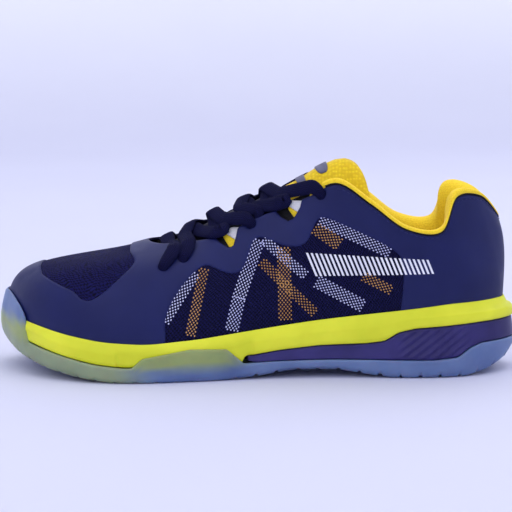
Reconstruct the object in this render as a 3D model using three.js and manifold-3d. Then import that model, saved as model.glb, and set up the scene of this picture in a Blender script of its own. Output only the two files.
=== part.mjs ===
// Indoor court shoe, left foot: cupped sole, layered textile and film upper, padded collar,
// gusset-free tongue and one flat lace. Millimetres, +Z up, toe towards -X, lateral side towards -Y.
// The origin is under the middle of the shoe, on the floor.
import * as THREE from "three";
import { ParametricGeometry } from "three/addons/geometries/ParametricGeometry.js";
import { mergeVertices } from "three/addons/utils/BufferGeometryUtils.js";
import Module from "manifold-3d";

// Driving dimensions
const length = 300; // toe to heel, over the sole
const width = 105; // across the ball, over the sole
const height = 122; // floor to the top of the tongue
const gap = 0.3; // between pieces that touch
const layerGap = width / 100; // between curved layers of the upper, whose flats stray more on a wider shoe
const facets = 54; // flats round the shoe

const wrapThickness = 1.3; // rubber that climbs the side of the midsole
const cupWall = 1.3; // midsole wall that the upper stands in
const lip = 0.95; // share of the upper's height where the outer layers stop below the rolled rim
const filmThickness = 0.6;
const meshThickness = 1.0;
const stiffenerThickness = 1.0;
const liningThickness = 0.6;
const foamThickness = 5;
const boardThickness = 1.5;
const socklinerThickness = 4;
const shankThickness = 1.7;
const tongueThickness = 4;
const laceRadius = 1.3;
const eyeletRadius = 3.6;
const eyeletRows = 6;
const eyeletHeight = 0.83; // share of the upper's height at which the eyelets sit

// The shoe at its drawn size, which the driving dimensions stretch.
const stretch = new THREE.Vector3(length / 300, width / 105, height / 122);
const acrossSole = (y) => y * stretch.y;
const alongSole = (x) => x * stretch.x;
const upShoe = (z) => z * stretch.z;

// Depth of each layer of the upper below its outer surface
const layer = { film: [0, filmThickness] };
const under = ([, inner], thickness) => [inner + layerGap, inner + layerGap + thickness];
layer.mesh = under(layer.film, meshThickness);
layer.stiffener = under(layer.mesh, stiffenerThickness);
layer.lining = under(layer.stiffener, liningThickness);
layer.foam = under(layer.stiffener, foamThickness);
layer.collar = under(layer.foam, liningThickness);

// Stations from toe to heel: the sole's outline on both sides, then the rim of the upper above it
// (x, half width, z) and how far the surface spreads out and drops as it leaves the rim.
const stations = [
  [-150, 13, 13, -53, 0, 78, 62, 24],
  [-145, -3, 28, -53, 3, 77.6, 58, 22],
  [-135, -20.5, 39.5, -53, 6, 77, 50, 19],
  [-118, -37, 47, -52, 9, 76.4, 40, 15],
  [-96, -48.5, 51.5, -49, 12, 76, 28, 12],
  [-68, -52.5, 52.5, -41, 15, 77, 17, 10],
  [-34, -47.5, 45, -25, 17, 80, 12, 14],
  [0, -39.5, 34.5, 4, 18, 94, 10, 22],
  [30, -35.5, 31.5, 28, 23, 104.5, 7, 24],
  [58, -35.5, 34.5, 45, 28, 112.5, 4, 25],
  [84, -37, 38, 64, 31.5, 101, 2, 25],
  [106, -35.5, 38, 84, 34, 86.5, 1, 20],
  [124, -30, 33, 103, 32.5, 85, 2, 22],
  [138, -21, 24, 112, 28.5, 105.5, 3, 30],
  [147.5, -9.5, 12.5, 126, 17, 104, 5, 22],
  [150, 1.5, 1.5, 138.5, 0, 89.5, 5.5, 14],
];

// Side profiles of the sole, x and z
const soleBottom = [
  [-153, 22.5], [-146, 16.5], [-134, 10.5], [-118, 5.6], [-98, 2], [-80, 0], [-20, 0],
  [2, 1.6], [20, 4.6], [46, 4.6], [64, 1.6], [78, 0], [118, 0], [132, 3.2], [143, 8.5], [153, 19],
];
const outsoleTop = [
  [-153, 23.6], [-143, 19], [-131, 16.4], [-107, 12.4], [-90, 10], [-70, 8.6], [-30, 8.6],
  [8, 10], [45, 10.4], [100, 10], [114, 11.2], [122, 16], [130, 18.8], [153, 19.4],
];
const stabiliserTop = [
  [-8, 13.4], [13, 16], [36, 18.4], [62, 19.6], [74, 22], [82, 26.4], [92, 28.2], [127, 30.6], [153, 31.4],
];
const cupFloor = [
  [-153, 25.5], [-143, 21], [-131, 18.6], [-107, 15.6], [-85, 14.6], [-60, 14.4],
  [-31, 16], [-9, 19], [36, 25], [81, 31], [110, 34], [153, 35],
];
const biteLine = [
  [-153, 33], [-130, 30], [-110, 26.3], [-85, 22.8], [-60, 21.6], [-31, 23.8],
  [-9, 26.6], [36, 32.9], [81, 38.4], [110, 41.6], [153, 42.4],
];

// Places of the inner parts of the sole
const stabiliserFront = -5;
const heelPocket = { x: 88, halfLength: 24, halfWidth: 22, low: 12.4, high: 20 };
const forefootPocket = { x: -58, halfLength: 24, halfWidth: 28, low: 9.8, high: 12.6 };
const shankPlace = { x: 18, halfLength: 38, halfWidth: 15, low: 11.4 };

// Ridge of the tongue, x and z, and its cross curve
const tongueRidge = [[-66, 64.4], [-45, 75], [-20, 88.2], [3, 98.4], [28, 111], [41, 118], [52, 122]];
const tongueDroop = { throat: 0.05, top: 0.075 };
const tongueHalfWidth = { root: 15, throat: 16.5, top: 19 };
const tongueSplit = 0.86; // share of the ridge where the free top begins
const tongueGap = 0.006;

const wasm = await Module();
wasm.setup();
const { Manifold, Mesh } = wasm;

const colour = {
  navy: "#23284f",
  mesh: "#151548",
  yellow: "#e1e22c",
  warmYellow: "#f5d21c",
  indigo: "#312c66",
  rubber: "#5f77a6",
  black: "#15151c",
  white: "#e8e8e4",
};

// Turns a closed three.js geometry into a solid that faces out.
function solidOf(geometry) {
  const bare = geometry.index ? geometry.toNonIndexed() : geometry.clone();
  for (const name of ["normal", "uv", "uv1"]) bare.deleteAttribute(name);
  const merged = mergeVertices(bare, 1e-3);
  const vertProperties = new Float32Array(merged.attributes.position.array);
  const triVerts = new Uint32Array(merged.index.array);
  const solid = new Manifold(new Mesh({ numProp: 3, vertProperties, triVerts }));
  if (solid.volume() > 0) return solid;
  for (let i = 0; i < triVerts.length; i += 3) {
    [triVerts[i + 1], triVerts[i + 2]] = [triVerts[i + 2], triVerts[i + 1]];
  }
  return new Manifold(new Mesh({ numProp: 3, vertProperties, triVerts }));
}

function geometryOf(solid) {
  const mesh = solid.getMesh();
  const geometry = new THREE.BufferGeometry();
  geometry.setAttribute("position", new THREE.BufferAttribute(mesh.vertProperties, 3));
  geometry.setIndex(new THREE.BufferAttribute(mesh.triVerts, 1));
  const flat = geometry.toNonIndexed();
  flat.computeVertexNormals();
  return flat;
}

function part(name, solid, color, roughness = 0.8) {
  const material = new THREE.MeshStandardMaterial({ color, roughness, metalness: 0 });
  const mesh = new THREE.Mesh(geometryOf(solid), material);
  mesh.name = name;
  return mesh;
}

const smoothstep = (from, to, x) => THREE.MathUtils.smoothstep(x, from, to);
const lerp = THREE.MathUtils.lerp;

// Height of a profile at x
function heightAt(profile, x) {
  const drawn = x / stretch.x;
  let i = 1;
  while (i < profile.length - 1 && profile[i][0] < drawn) i += 1;
  const [x0, z0] = profile[i - 1];
  const [x1, z1] = profile[i];
  return upShoe(lerp(z0, z1, THREE.MathUtils.clamp((drawn - x0) / (x1 - x0), 0, 1)));
}

// Outline and rim as closed curves that run toe, lateral side, heel, medial side
const lateral = stations.map((s) => [s[0], s[1], s[3], -s[4], s[5], s[6], s[7]]);
const medial = stations.slice(1, -1).reverse().map((s) => [s[0], s[2], s[3], s[4], s[5], s[6], s[7]]);
const loop = [...lateral, ...medial];
const closedCurve = (pick) => new THREE.CatmullRomCurve3(loop.map(pick), true, "centripetal");
const outline = closedCurve((s) => new THREE.Vector3(alongSole(s[0]), acrossSole(s[1]), 0));
const rim = closedCurve((s) => new THREE.Vector3(alongSole(s[2]), acrossSole(s[3]), upShoe(s[4])));
const handles = closedCurve((s) => new THREE.Vector3(s[5], upShoe(s[6]), 0));

function outward(u) {
  const tangent = outline.getTangent(u);
  return new THREE.Vector3(tangent.y, -tangent.x, 0).normalize();
}

// How far the upper stands inside the sole's outline
const upperInset = (x) => wrapThickness + gap + cupWall + layerGap + 3.6 * smoothstep(80, 150, x / stretch.x);

// Outer surface of the upper: u runs round the shoe, v from the cup's floor to the rim.
function upperPoint(u, v) {
  const around = ((u % 1) + 1) % 1;
  const out = outward(around);
  const foot = outline.getPoint(around);
  foot.addScaledVector(out, -upperInset(foot.x));
  foot.z = heightAt(cupFloor, foot.x) + gap;
  const top = rim.getPoint(around);
  const handle = handles.getPoint(around);
  const toe = 1 - smoothstep(-140, -60, foot.x / stretch.x);
  const rise = upShoe(lerp(lerp(34, 30, smoothstep(-60, 0, foot.x / stretch.x)), 52, toe));
  const low = foot.clone().addScaledVector(out, 2).add(new THREE.Vector3(0, 0, rise));
  const high = top.clone().addScaledVector(out, handle.x).add(new THREE.Vector3(0, 0, -handle.y));
  return new THREE.CubicBezierCurve3(foot, low, high, top).getPoint(v);
}

function upperNormal(u, v) {
  const step = 1e-3;
  const at = Math.min(v, 0.98);
  const alongRim = upperPoint(u + step, at).sub(upperPoint(u - step, at));
  const upWall = upperPoint(u, at + step).sub(upperPoint(u, at - step));
  return alongRim.cross(upWall).normalize();
}

function upperAt(u, v, depth) {
  return upperPoint(u, v).addScaledVector(upperNormal(u, v), -depth);
}

// Height shares at which every layer of the upper bends, so that layers stay parallel
const bends = [0.14, 0.3, 0.45, 0.6, 0.78, 0.88, lip];

// A ring of the upper between two depths, from height share low to high
function ring([outer, inner], low, high) {
  const heights = [low, ...bends.filter((v) => v > low + 0.005 && v < high - 0.005), high];
  const rows = heights.length - 1;
  const last = 2 * rows + 2;
  const place = (u, w, target) => {
    const k = Math.round(w * last);
    const onOuter = k <= rows || k === last;
    const row = k === last ? 0 : onOuter ? k : 2 * rows + 1 - k;
    target.copy(upperAt(u, heights[row], onOuter ? outer : inner));
  };
  return solidOf(new ParametricGeometry(place, facets, last));
}

// A side-view outline, x and z, pushed through the shoe from y = from to y = to
function sidePrism(points, from = -200, to = 200) {
  const shape = new THREE.Shape(points.map(([x, z]) => new THREE.Vector2(alongSole(x), upShoe(z))));
  const geometry = new THREE.ExtrudeGeometry(shape, { depth: to - from, bevelEnabled: false });
  return solidOf(geometry.rotateX(Math.PI / 2).translate(0, to, 0));
}

// A block over the sole's outline, moved in by inset, with its curved profile between two heights
function soleBlock(inset, low, high) {
  const points = [];
  for (let i = 0; i < facets; i += 1) {
    const point = outline.getPoint(i / facets);
    const amount = typeof inset === "function" ? inset(point.x) : inset;
    points.push(point.addScaledVector(outward(i / facets), -amount));
  }
  const shape = new THREE.Shape(points.map((p) => new THREE.Vector2(p.x, p.y)));
  const block = new THREE.ExtrudeGeometry(shape, { depth: upShoe(200), bevelEnabled: false });
  const profile = [...low, ...[...high].reverse()];
  return solidOf(block.translate(0, 0, -20)).intersect(sidePrism(profile));
}

const raised = (profile, by) => profile.map(([x, z]) => [x, z + by / stretch.z]);

function pill({ x, halfLength, halfWidth }, low, high, grow = 0) {
  const radius = halfWidth * 0.6 + grow;
  const shape = new THREE.Shape();
  const [right, top] = [halfLength + grow, halfWidth + grow];
  shape.moveTo(-right + radius, -top);
  shape.lineTo(right - radius, -top);
  shape.absarc(right - radius, -top + radius, radius, -Math.PI / 2, 0);
  shape.absarc(right - radius, top - radius, radius, 0, Math.PI / 2);
  shape.absarc(-right + radius, top - radius, radius, Math.PI / 2, Math.PI);
  shape.absarc(-right + radius, -top + radius, radius, Math.PI, Math.PI * 1.5);
  const options = { depth: high - low, bevelEnabled: false, curveSegments: 5 };
  return solidOf(new THREE.ExtrudeGeometry(shape, options).translate(alongSole(x), 0, low));
}

// Sole
const cupInset = (x) => upperInset(x) - layerGap;
const shankHigh = upShoe(shankPlace.low) + shankThickness;

function outsole() {
  const base = soleBlock(0, soleBottom, outsoleTop);
  const toeWrap = [
    [-160, 0], [-130, 0], [-131, 26], [-133, 35], [-140, 40], [-144, 45], [-160, 45],
  ];
  const sidePad = [[-72, 2], [-64, 14], [-36, 19], [-14, 17.5], [-5, 9.6], [-5, 2]];
  const wall = soleBlock(0, soleBottom, raised(biteLine, 12))
    .subtract(soleBlock(wrapThickness, raised(soleBottom, -30), raised(biteLine, 40)));
  return base.add(wall.intersect(sidePrism(toeWrap))).add(wall.intersect(sidePrism(sidePad)));
}

function midsole() {
  const underside = [
    ...outsoleTop.filter(([x]) => x < -20),
    [stabiliserFront - 2, 9.2],
    ...stabiliserTop,
  ];
  const cup = soleBlock(cupInset, cupFloor, raised(biteLine, 40));
  return soleBlock(wrapThickness + gap, raised(underside, gap), biteLine)
    .subtract(cup)
    .subtract(pill(forefootPocket, upShoe(2), upShoe(forefootPocket.high) + gap, gap))
    .subtract(pill(shankPlace, upShoe(2), shankHigh + gap, gap));
}

function heelStabiliser() {
  const behind = [[stabiliserFront, 0], [160, 0], [160, 60], [stabiliserFront, 60]];
  const underside = raised(outsoleTop.filter(([x]) => x > -40), gap);
  return soleBlock(0.6, underside, [[-30, 12], ...stabiliserTop])
    .intersect(sidePrism(behind))
    .subtract(pill(heelPocket, upShoe(heelPocket.low) - gap, upShoe(90), gap))
    .subtract(pill(shankPlace, upShoe(2), shankHigh + gap, gap));
}

function strobelBoard() {
  const inset = (x) => upperInset(x) + layer.lining[1] + gap;
  return soleBlock(inset, raised(cupFloor, gap), raised(cupFloor, gap + boardThickness));
}

function sockliner() {
  const low = gap + boardThickness + gap;
  const inset = (x) => upperInset(x) + layer.lining[1] + 2 * gap;
  return soleBlock(inset, raised(cupFloor, low), raised(cupFloor, low + socklinerThickness));
}

// Upper
const notches = [
  [[-30, 100], [-27, 80], [-22, 76.5], [-13.5, 71.5], [-10.5, 81], [-7, 100]],
  [[3, 120], [9, 95], [19.6, 87], [26, 97.5], [30, 120]],
];
const eyeletX = (row) => -50 + (row * 86) / (eyeletRows - 1);

// Place round the rim, on one side, at which the rim's x is nearest to the eyelet row's x
function eyeletU(row, side) {
  let best = 0;
  for (let i = 0; i <= 400; i += 1) {
    const u = side < 0 ? 0.1 + (0.25 * i) / 400 : 0.9 - (0.25 * i) / 400;
    const off = Math.abs(rim.getPoint(u).x - alongSole(eyeletX(row)));
    if (i === 0 || off < best.off) best = { u, off };
  }
  return best.u;
}

function eyeletFrame(row, side) {
  const u = eyeletU(row, side);
  return { u, at: upperPoint(u, eyeletHeight), out: upperNormal(u, eyeletHeight), edge: upperPoint(u, lip) };
}

function eyeletCuts() {
  const cuts = [];
  for (const side of [-1, 1]) {
    for (let row = 0; row < eyeletRows; row += 1) {
      const { at, out } = eyeletFrame(row, side);
      const drill = new THREE.CylinderGeometry(eyeletRadius, eyeletRadius, 16, 6);
      const turn = new THREE.Quaternion().setFromUnitVectors(new THREE.Vector3(0, 1, 0), out);
      drill.applyQuaternion(turn).translate(at.x, at.y, at.z);
      cuts.push(solidOf(drill));
    }
  }
  return cuts;
}

function withThroatCuts(solid) {
  let cut = solid;
  for (const notch of notches) cut = cut.subtract(sidePrism(notch));
  for (const drill of eyeletCuts()) cut = cut.subtract(drill);
  return cut;
}

const lateralSide = [-200, 0];
const medialSide = [0, 200];
const vampEdge = [[-52, 0], [-52, 38], [-37, 60], [-37, 140]];

function frontOf(edge) {
  return sidePrism([[-200, 0], ...edge, [-200, 140]]);
}

function behindOf(edge, [from, to]) {
  const shifted = edge.map(([x, z]) => [x + gap, z]);
  return sidePrism([...shifted, [200, 140], [200, 0]], from, to);
}

function baseMesh() {
  return withThroatCuts(ring(layer.mesh, 0.02, lip));
}

function vampMesh(mesh) {
  return mesh.intersect(frontOf(vampEdge));
}

function quarterMesh(mesh, side) {
  const seam = acrossSole(1.5);
  const half = side < 0 ? [lateralSide[0], seam - gap / 2] : [seam + gap / 2, medialSide[1]];
  return mesh.intersect(behindOf(vampEdge, half));
}

function toeOverlay(film) {
  const wingEdge = [[-54, 0], [-54, 38], [-40, 58], [-58, 66], [-66, 74], [-66, 140]];
  const window = [
    [-126, 140], [-124, 56.3], [-110, 52], [-101.5, 49.6], [-98.5, 46], [-94, 45], [-87, 48], [-78, 56],
    [-67, 66], [-60, 140],
  ];
  return film.intersect(frontOf(wingEdge)).subtract(sidePrism(window));
}

// The band of film round the eyelets of one side, with a scalloped lower edge
function eyestayOverlay(film, side) {
  const band = [
    [-63, 140], [-62, 72], [-56, 67], [-38, 60], [-25, 62], [-19, 60], [-10, 58.5], [-5, 65], [0, 79],
    [9, 76.5], [19, 74], [27, 73.5], [31, 80], [34, 90], [36, 93], [36, 140],
  ];
  return film.intersect(side < 0 ? sidePrism(band, -200, -2) : sidePrism(band, 2, 200));
}

function heelOverlay(film) {
  const region = [[37, 140], [37, 92.5], [78, 72.5], [80, 60], [78, 20], [200, 20], [200, 140]];
  return film.intersect(sidePrism(region));
}

function eyestayBacking(side) {
  const band = withThroatCuts(ring(layer.stiffener, 0.6, lip));
  const reach = [[-60, 0], [42, 0], [42, 140], [-60, 140]];
  return band.intersect(side < 0 ? sidePrism(reach, -200, -4) : sidePrism(reach, 4, 200));
}

function toePuff() {
  const reach = [[-200, 0], [-104, 0], [-112, 140], [-200, 140]];
  return ring(layer.stiffener, 0.06, 0.45).intersect(sidePrism(reach));
}

function heelCounter() {
  const reach = [[92, 0], [200, 0], [200, 140], [86, 140]];
  return ring(layer.stiffener, 0.06, 0.6).intersect(sidePrism(reach));
}

function vampLining() {
  const reach = [[-200, 0], [32, 0], [26, 140], [-200, 140]];
  return ring(layer.lining, 0.04, 0.6).intersect(sidePrism(reach));
}

const collarReach = [[76, 0], [200, 0], [200, 140], [62, 140]];

function collarFoam() {
  return ring(layer.foam, 0.6, 0.88).intersect(sidePrism(collarReach));
}

// The lining climbs the inside of the foam and rolls over it as the rim.
function collarLining() {
  const inside = ring(layer.collar, 0.6, 0.99);
  const roll = ring([0.4, layer.collar[1] - 0.3], lip + 0.03, 1);
  return inside.add(roll).intersect(sidePrism(collarReach));
}

// Tongue
const ridge = new THREE.CatmullRomCurve3(
  tongueRidge.map(([x, z]) => new THREE.Vector3(alongSole(x), 0, upShoe(z))),
);

function tongueHalf(s) {
  const throat = lerp(tongueHalfWidth.root, tongueHalfWidth.throat, smoothstep(0, 0.3, s));
  return acrossSole(lerp(throat, tongueHalfWidth.top, smoothstep(0.7, 0.95, s)));
}

function tonguePoint(s, across, depth) {
  const centre = ridge.getPointAt(s);
  const along = ridge.getTangentAt(s);
  const down = new THREE.Vector3(along.z, 0, -along.x);
  const droop = lerp(tongueDroop.throat, tongueDroop.top, smoothstep(0.7, 1, s)) / stretch.y;
  const y = across * tongueHalf(s);
  const slope = 2 * droop * y;
  const inward = down.clone().add(new THREE.Vector3(0, -slope, 0)).normalize();
  centre.y = y;
  return centre.addScaledVector(down, droop * y * y).addScaledVector(inward, depth);
}

// A closed slab on the tongue between two shares of its ridge and two depths
function tongueSlab(from, to, half, [outer, inner], steps = 8, across = 8) {
  const last = 2 * across + 2;
  const body = (w, s, target) => {
    const k = Math.round(w * last);
    const onOuter = k <= across || k === last;
    const column = k === last ? 0 : onOuter ? k : 2 * across + 1 - k;
    const place = half * lerp(-1, 1, column / across);
    target.copy(tonguePoint(lerp(from, to, s), place, onOuter ? outer : inner));
  };
  const skin = new ParametricGeometry(body, last, steps);
  const caps = [0, 1].map((end) => {
    const face = (w, d, target) => {
      target.copy(tonguePoint(end ? to : from, half * lerp(-1, 1, w), d < 0.5 ? outer : inner));
    };
    return new ParametricGeometry(face, across, 1);
  });
  return joinFaces([skin, caps[0], caps[1]], [false, true, false]);
}

// Sews open sheets that share their edges into one closed solid.
function joinFaces(sheets, turned) {
  const positions = [];
  sheets.forEach((sheet, index) => {
    const flat = sheet.toNonIndexed().attributes.position.array;
    for (let i = 0; i < flat.length; i += 9) {
      const triangle = [0, 3, 6].map((k) => [flat[i + k], flat[i + k + 1], flat[i + k + 2]]);
      if (turned[index]) triangle.reverse();
      positions.push(...triangle.flat());
    }
  });
  const joined = new THREE.BufferGeometry();
  joined.setAttribute("position", new THREE.BufferAttribute(new Float32Array(positions), 3));
  return solidOf(joined);
}

// Lace: a bar over the first row, then two strands that cross over the tongue between every
// second pair of rows and run up under the eyestay in between. The ends go down inside the collar.
const crossingLead = 7; // how far the strands lean towards the toe where they cross
const tuckedEnd = [[40, 19, 108.5], [47, 21.5, 103], [51, 21.5, 92], [53, 21.5, 80]];

function laceStrand(side) {
  const points = [];
  const clear = laceRadius + 0.9;
  const lift = side < 0 ? 3.6 : 0;
  const inside = (row, s) => {
    const { at, out } = eyeletFrame(row, s);
    return at.clone().addScaledVector(out, -(layer.stiffener[1] + clear));
  };
  const outside = (row, s) => {
    const { at, out } = eyeletFrame(row, s);
    return at.clone().addScaledVector(out, clear);
  };
  const overEdge = (row, s) => {
    const { edge, out } = eyeletFrame(row, s);
    return edge.clone().addScaledVector(out, clear + 0.6 * stretch.x);
  };
  const overTongue = (x, lift) => {
    let s = 0;
    while (s < 1 && ridge.getPointAt(s).x < x) s += 0.005;
    return tonguePoint(s, 0, -(clear + lift));
  };
  const first = outside(0, side);
  points.push(overEdge(0, side), first, inside(0, side));
  let at = side;
  for (const row of [1, 3]) {
    points.push(inside(row, at), outside(row, at), overEdge(row, at));
    const middle = (outside(row, at).x + outside(row + 1, -at).x) / 2 - crossingLead;
    points.push(overTongue(middle, lift));
    at = -at;
    points.push(overEdge(row + 1, at), outside(row + 1, at), inside(row + 1, at));
  }
  points.push(inside(5, at), outside(5, at), overEdge(5, at));
  points.push(overTongue(outside(5, at).x - crossingLead, lift));
  for (const [x, y, z] of tuckedEnd) {
    points.push(new THREE.Vector3(alongSole(x), -at * acrossSole(y), upShoe(z)));
  }
  return points;
}

function lacePath() {
  const away = laceStrand(-1).reverse();
  const back = laceStrand(1);
  const bar = tonguePoint(0.22, 0, -(laceRadius + 1.2));
  return new THREE.CatmullRomCurve3([...away, bar, ...back], false, "centripetal");
}

function roundSection(radius, sides) {
  const shape = new THREE.Shape();
  for (let i = 0; i < sides; i += 1) {
    const angle = (2 * Math.PI * i) / sides;
    const place = [radius * Math.cos(angle), radius * Math.sin(angle)];
    if (i === 0) shape.moveTo(...place);
    else shape.lineTo(...place);
  }
  return shape;
}

function lace() {
  const options = { steps: 80, extrudePath: lacePath(), bevelEnabled: false };
  return solidOf(new THREE.ExtrudeGeometry(roundSection(laceRadius, 6), options));
}

const aglet = { length: 16, radius: 1.6 };

function agletAt(side) {
  const path = laceStrand(-side);
  const end = path[path.length - 1];
  const down = end.clone().sub(path[path.length - 2]).normalize();
  const tip = new THREE.CylinderGeometry(aglet.radius, aglet.radius, aglet.length, 8);
  const turn = new THREE.Quaternion().setFromUnitVectors(new THREE.Vector3(0, 1, 0), down);
  const middle = end.clone().addScaledVector(down, aglet.length / 2 + gap);
  return solidOf(tip.applyQuaternion(turn).translate(middle.x, middle.y, middle.z));
}

// Assembly
const group = new THREE.Group();
const add = (name, solid, color, roughness) => group.add(part(name, solid, color, roughness));

add("outsole", outsole(), colour.rubber, 0.45);
add("midsole", midsole(), colour.yellow, 0.6);
add("heel_stabiliser", heelStabiliser(), colour.indigo, 0.5);
add("shank_plate", pill(shankPlace, upShoe(shankPlace.low), shankHigh), colour.black, 0.4);
add("heel_cushion_insert", pill(heelPocket, upShoe(heelPocket.low), upShoe(heelPocket.high)), colour.white);
add(
  "forefoot_cushion_insert",
  pill(forefootPocket, upShoe(forefootPocket.low), upShoe(forefootPocket.high)),
  colour.white,
);
add("strobel_board", strobelBoard(), colour.white, 0.9);
add("sockliner", sockliner(), colour.warmYellow, 0.9);

const mesh = baseMesh();
add("vamp_mesh", vampMesh(mesh), colour.mesh, 0.9);
add("quarter_mesh_lateral", quarterMesh(mesh, -1), colour.mesh, 0.9);
add("quarter_mesh_medial", quarterMesh(mesh, 1), colour.mesh, 0.9);

const film = withThroatCuts(ring(layer.film, 0.03, lip));
add("toe_overlay", toeOverlay(film), colour.navy, 0.5);
add("eyestay_overlay_lateral", eyestayOverlay(film, -1), colour.navy, 0.5);
add("eyestay_overlay_medial", eyestayOverlay(film, 1), colour.navy, 0.5);
add("heel_overlay", heelOverlay(film), colour.navy, 0.5);

add("toe_puff", toePuff(), colour.white, 0.8);
add("heel_counter", heelCounter(), colour.white, 0.7);
add("eyestay_backing_lateral", eyestayBacking(-1), colour.black);
add("eyestay_backing_medial", eyestayBacking(1), colour.black);
add("vamp_lining", vampLining(), colour.warmYellow, 0.9);
add("collar_foam", collarFoam(), colour.white, 0.9);
add("collar_lining", collarLining(), colour.warmYellow, 0.9);

const skin = 0.7; // tongue lining thickness
const core = [0, tongueThickness - skin - gap * stretch.y ** 3];
const back = [tongueThickness - skin, tongueThickness];
add("tongue", tongueSlab(0, tongueSplit, 1, core, 12), colour.warmYellow, 0.9);
add("tongue_lining", tongueSlab(0.06, tongueSplit, 0.94, back, 12, 6), colour.warmYellow, 0.9);
add("tongue_top", tongueSlab(tongueSplit + tongueGap, 1, 1, [0, tongueThickness], 4), colour.warmYellow, 0.9);
add("tongue_badge", tongueSlab(0.88, 0.97, 0.42, [-1.1, -gap], 2, 4), colour.navy, 0.5);
add("lace_keeper", tongueSlab(0.735, 0.765, 0.45, [-1.1, -gap], 1, 4), colour.navy, 0.7);

add("lace", lace(), colour.navy, 0.8);
add("aglet_left", agletAt(-1), colour.navy, 0.4);
add("aglet_right", agletAt(1), colour.navy, 0.4);

export default group;
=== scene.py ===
"""Looks of an indoor court shoe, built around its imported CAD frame."""

import math

import bpy
import numpy as np
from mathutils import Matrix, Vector
from mathutils.bvhtree import BVHTree


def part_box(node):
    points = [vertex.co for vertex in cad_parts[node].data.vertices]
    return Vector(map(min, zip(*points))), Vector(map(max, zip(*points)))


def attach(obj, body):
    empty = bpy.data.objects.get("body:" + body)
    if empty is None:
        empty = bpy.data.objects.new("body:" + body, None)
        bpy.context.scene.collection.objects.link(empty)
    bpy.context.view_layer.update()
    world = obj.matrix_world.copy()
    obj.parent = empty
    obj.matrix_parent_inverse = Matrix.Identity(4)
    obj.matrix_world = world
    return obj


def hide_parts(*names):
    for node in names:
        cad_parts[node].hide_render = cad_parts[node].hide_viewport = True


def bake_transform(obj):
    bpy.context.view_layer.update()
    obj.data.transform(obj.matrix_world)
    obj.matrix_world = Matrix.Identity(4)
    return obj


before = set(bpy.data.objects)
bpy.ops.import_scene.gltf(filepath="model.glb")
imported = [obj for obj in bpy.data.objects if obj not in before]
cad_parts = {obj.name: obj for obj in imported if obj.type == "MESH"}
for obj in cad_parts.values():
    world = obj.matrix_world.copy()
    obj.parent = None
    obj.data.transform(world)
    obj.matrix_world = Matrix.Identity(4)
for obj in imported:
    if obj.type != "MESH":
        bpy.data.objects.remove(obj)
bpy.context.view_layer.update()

# ---------------------------------------------------------------- sizes from the frame
SOLE_LOW, SOLE_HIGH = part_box("outsole")
TONGUE_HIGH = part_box("tongue_top")[1].z
DRAWN = (300.0, 105.2, 122.0)  # the drawn shoe, in mm: length, width, height
MM = 0.001
SCALE = np.array([SOLE_HIGH.x - SOLE_LOW.x, SOLE_HIGH.y - SOLE_LOW.y, TONGUE_HIGH]) / MM / DRAWN

AROUND = 560  # columns round the shoe
RISE = 110  # rows up the upper
LIP = 0.95  # share of the upper's height where the outer layers stop
UPPER_TALL = 60  # mm up the upper's wall, roughly
WEAVE_AROUND, WEAVE_UP = 700, 70  # mm of cloth map round the upper and up it
FAR = 1e9  # mm, beyond any part of the shoe
TINY = 1e-9

# ---------------------------------------------------------------- the drawn shoe, in mm
# Sole outline on both sides and, above it, the rim of the upper, from toe to heel:
# x, lateral y, medial y, rim x, rim half width, rim z, spread, drop
STATIONS = [
    (-150, 13, 13, -53, 0, 78, 62, 24),
    (-145, -3, 28, -53, 3, 77.6, 58, 22),
    (-135, -20.5, 39.5, -53, 6, 77, 50, 19),
    (-118, -37, 47, -52, 9, 76.4, 40, 15),
    (-96, -48.5, 51.5, -49, 12, 76, 28, 12),
    (-68, -52.5, 52.5, -41, 15, 77, 17, 10),
    (-34, -47.5, 45, -25, 17, 80, 12, 14),
    (0, -39.5, 34.5, 4, 18, 94, 10, 22),
    (30, -35.5, 31.5, 28, 23, 104.5, 7, 24),
    (58, -35.5, 34.5, 45, 28, 112.5, 4, 25),
    (84, -37, 38, 64, 31.5, 101, 2, 25),
    (106, -35.5, 38, 84, 34, 86.5, 1, 20),
    (124, -30, 33, 103, 32.5, 85, 2, 22),
    (138, -21, 24, 112, 28.5, 105.5, 3, 30),
    (147.5, -9.5, 12.5, 126, 17, 104, 5, 22),
    (150, 1.5, 1.5, 138.5, 0, 89.5, 5.5, 14),
]
SOLE_BOTTOM = [
    (-153, 22.5), (-146, 16.5), (-134, 10.5), (-118, 5.6), (-98, 2), (-80, 0), (-20, 0),
    (2, 1.6), (20, 4.6), (46, 4.6), (64, 1.6), (78, 0), (118, 0), (132, 3.2), (143, 8.5), (153, 19),
]
OUTSOLE_TOP = [
    (-153, 24), (-131, 19), (-107, 13.6), (-90, 10.4), (-74, 8.8), (-12, 9.2),
    (8, 10), (45, 10.6), (100, 10.2), (114, 11.4), (121, 16.4), (128, 19), (153, 19.6),
]
STABILISER_TOP = [
    (-30, 13.2), (-4, 13.4), (13, 16), (36, 18.4), (62, 19.6),
    (72, 21), (80, 26), (90, 28.2), (127, 30.6), (153, 31.4),
]
CUP_FLOOR = [
    (-153, 25.5), (-143, 21), (-131, 18.6), (-107, 15.6), (-85, 14.6), (-60, 14.4),
    (-31, 16), (-9, 19), (36, 25), (81, 31), (110, 34), (153, 35),
]
BITE_LINE = [
    (-153, 33), (-130, 30), (-110, 26.3), (-85, 22.8), (-60, 21.6), (-31, 23.8),
    (-9, 26.6), (36, 32.9), (81, 38.4), (110, 41.6), (153, 42.4),
]
BALL_PAD = [(-76, 0), (-70, 8), (-63, 14.2), (-36, 18.8), (-16, 18), (-6, 9), (-2, 0)]
TOE_WRAP = [
    (-153, 43.6), (-148, 44.4), (-144, 42.8), (-137.5, 38.4),
    (-133, 33), (-131.4, 26), (-130.6, 19.5), (-126, 8),
]
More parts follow.
